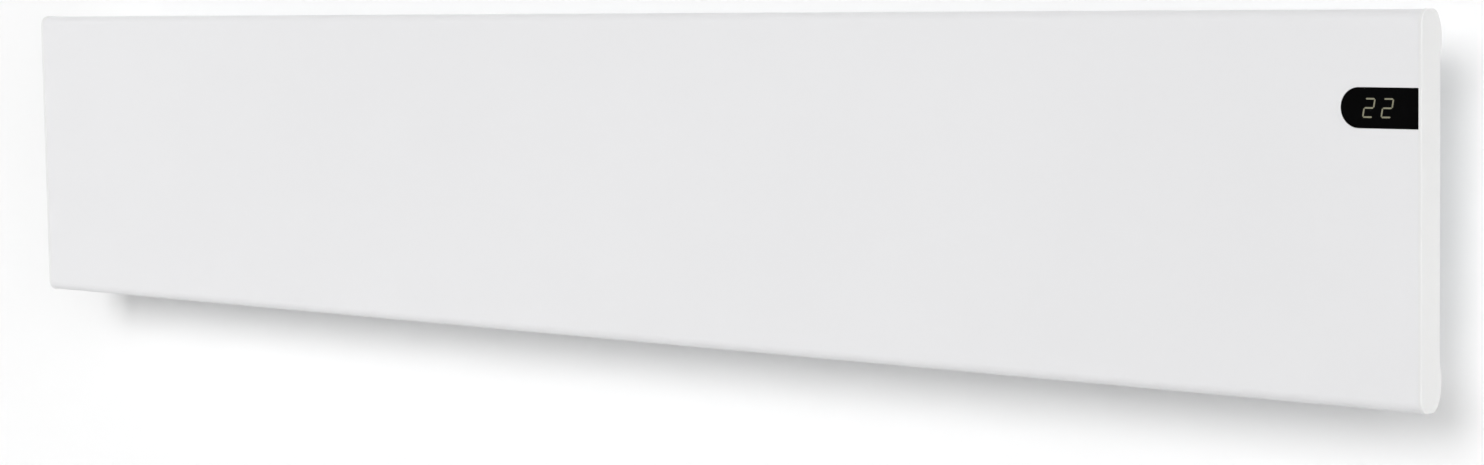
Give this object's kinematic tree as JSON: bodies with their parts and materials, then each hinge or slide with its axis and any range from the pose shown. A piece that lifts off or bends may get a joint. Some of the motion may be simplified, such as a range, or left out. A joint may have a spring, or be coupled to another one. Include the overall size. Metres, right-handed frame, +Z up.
{
  "type": "wall panel convector heater",
  "caption": "Low, wide white wall convector heater: flat panel with rounded edges, black D-shaped display, vented rear housing on a tilting wall bracket.",
  "frame": {"origin": "centre of the four wall screw holes, on the wall plane, level with the middle of the heater", "axes": "+X along the heater towards the display, +Y into the wall, +Z up; the front faces -Y"},
  "size_m": [1.43, 0.088, 0.25],
  "materials": {
    "white_steel": "fine satin powder coat",
    "white_plastic": "fine satin moulding",
    "galvanised": "galvanised sheet, faint spangle",
    "white_bracket": "satin powder coat",
    "zinc": "zinc plated",
    "spring_steel": "plain spring steel",
    "black_gloss": "polished black window",
    "lit_bar": "warm light bar, lit",
    "dark_bar": "light bar, unlit",
    "black_plastic": "fine textured moulding",
    "grey_plastic": "plain moulding",
    "board_green": "solder mask",
    "aluminium": "extruded",
    "shield": "bright aluminised sheet",
    "rod_steel": "annealed steel sheath",
    "ceramic": "unglazed ceramic",
    "rubber_black": "soft rubber",
    "wire_red": "insulation",
    "wire_brown": "insulation",
    "wire_green": "insulation",
    "wire_grey": "insulation",
    "blue_part": "component case",
    "yellow_part": "component case",
    "terminal_green": "terminal housing",
    "fuse_glass": "fuse with end caps",
    "label_metal": "bare foil plate"
  },
  "bodies": {
    "bracket": {"left_upright": "white_bracket", "right_upright": "white_bracket", "upper_rail": "white_bracket", "lower_rail": "white_bracket", "pivot_pins": "zinc", "bracket_rivets": "zinc", "spring_catches": "spring_steel"},
    "heater": {"front_panel": "white_steel", "left_end_cap": "white_plastic", "right_end_cap": "white_plastic", "back_plate": "galvanised", "outlet_grille": "galvanised", "inlet_grille": "galvanised", "left_end_plate": "galvanised", "right_end_plate": "galvanised", "lip_screws": "zinc", "cap_screws": "zinc", "back_screws": "zinc", "rating_plate": "label_metal", "display_window": "black_gloss", "lit_segments": "lit_bar", "dark_segments": "dark_bar", "led_module": "black_plastic", "display_carrier": "black_plastic", "display_board": "board_green", "display_screws": "zinc", "display_cable": "wire_grey", "left_element_fins": "aluminium", "right_element_fins": "aluminium", "left_element_rod": "rod_steel", "right_element_rod": "rod_steel", "element_bushings": "ceramic", "element_supports": "zinc", "heat_shield": "shield", "thermal_cutouts": "zinc", "element_leads": "wire_red", "partition_plate": "galvanised", "lead_grommet": "rubber_black", "control_tray": "black_plastic", "control_cover": "black_plastic", "power_board": "board_green", "board_screws": "zinc", "relay": "blue_part", "power_supply": "yellow_part", "filter_capacitor": "grey_plastic", "terminal_block": "terminal_green", "fuse": "fuse_glass", "switch_body": "black_plastic", "switch_leads": "wire_brown", "cable_gland": "black_plastic", "gland_nut": "black_plastic", "sensor_guard": "white_plastic", "room_sensor": "wire_grey", "earth_stud": "zinc", "earth_lead": "wire_green", "left_hinge_lug": "zinc", "right_hinge_lug": "zinc", "lug_rivets": "zinc", "rear_buffers": "rubber_black"},
    "rocker": {"power_rocker": "black_plastic"}
  },
  "joints": [
    {"name": "heater_tilt", "type": "hinge", "parent": "bracket", "child": "heater", "pos_m": [0, -0.012, -0.09], "axis": [1, 0, 0], "range_deg": [0, 20], "deforming": ["spring_catches"]},
    {"name": "power_rocker", "type": "hinge", "parent": "heater", "child": "rocker", "pos_m": [0.58, -0.0436, -0.09825], "axis": [0, 1, 0], "range_deg": [0, 16]}
  ]
}
